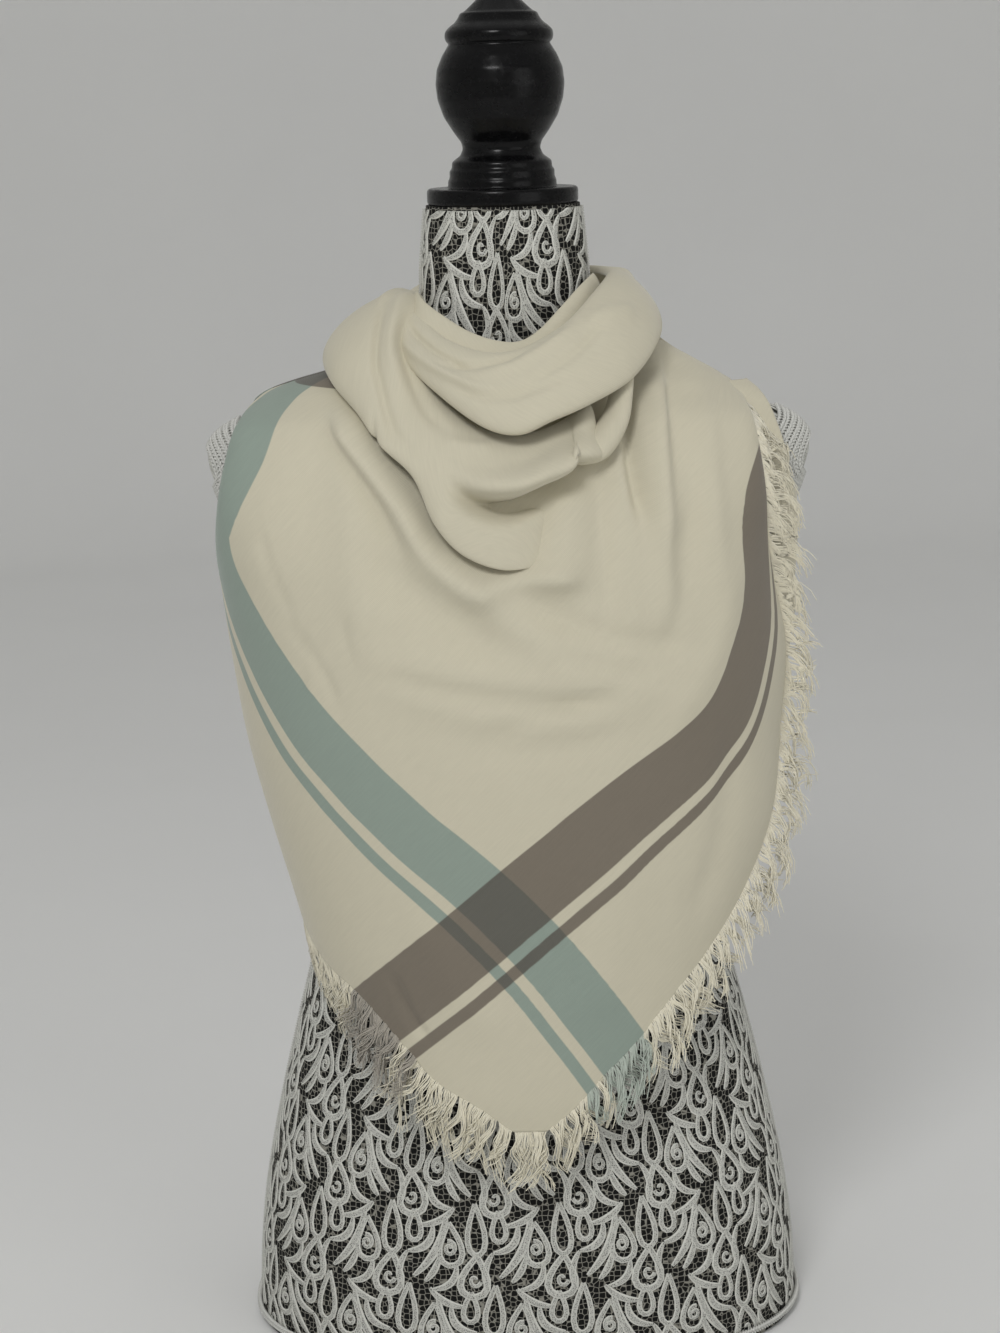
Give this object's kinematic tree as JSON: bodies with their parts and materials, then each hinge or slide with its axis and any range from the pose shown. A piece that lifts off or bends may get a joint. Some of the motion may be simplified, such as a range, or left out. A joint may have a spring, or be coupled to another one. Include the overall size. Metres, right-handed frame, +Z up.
{
  "type": "square scarf on a dress form",
  "caption": "Square blanket scarf with striped borders and an eyelash fringe, wrapped as a cowl on a limbless tabletop dress form.",
  "frame": {"origin": "centre of the dress form's flat base", "axes": "+Z up the form's neck, -Y out of the chest, +X to the viewer's right when seen from the front"},
  "size_m": [0.3749, 0.2686, 0.832],
  "materials": {
    "scarf": "brushed woven cotton and acrylic, cream with dusty teal and taupe stripes",
    "form_cover": "off-white corded lace over black jersey",
    "braid": "off-white plaited braid",
    "cap": "glossy black lacquer"
  },
  "bodies": {
    "root": {"dress_form": "form_cover", "neck_disc": "cap", "finial": "cap", "armhole_braid_left": "braid", "armhole_braid_right": "braid", "hem_braid": "braid", "front_drape": "scarf", "back_wrap": "scarf", "right_under_layer": "scarf", "top_roll": "scarf", "inner_collar": "scarf", "cowl_drape": "scarf", "right_tuck": "scarf", "fringe_left": "scarf", "fringe_right": "scarf", "fringe_back": "scarf"}
  },
  "joints": []
}
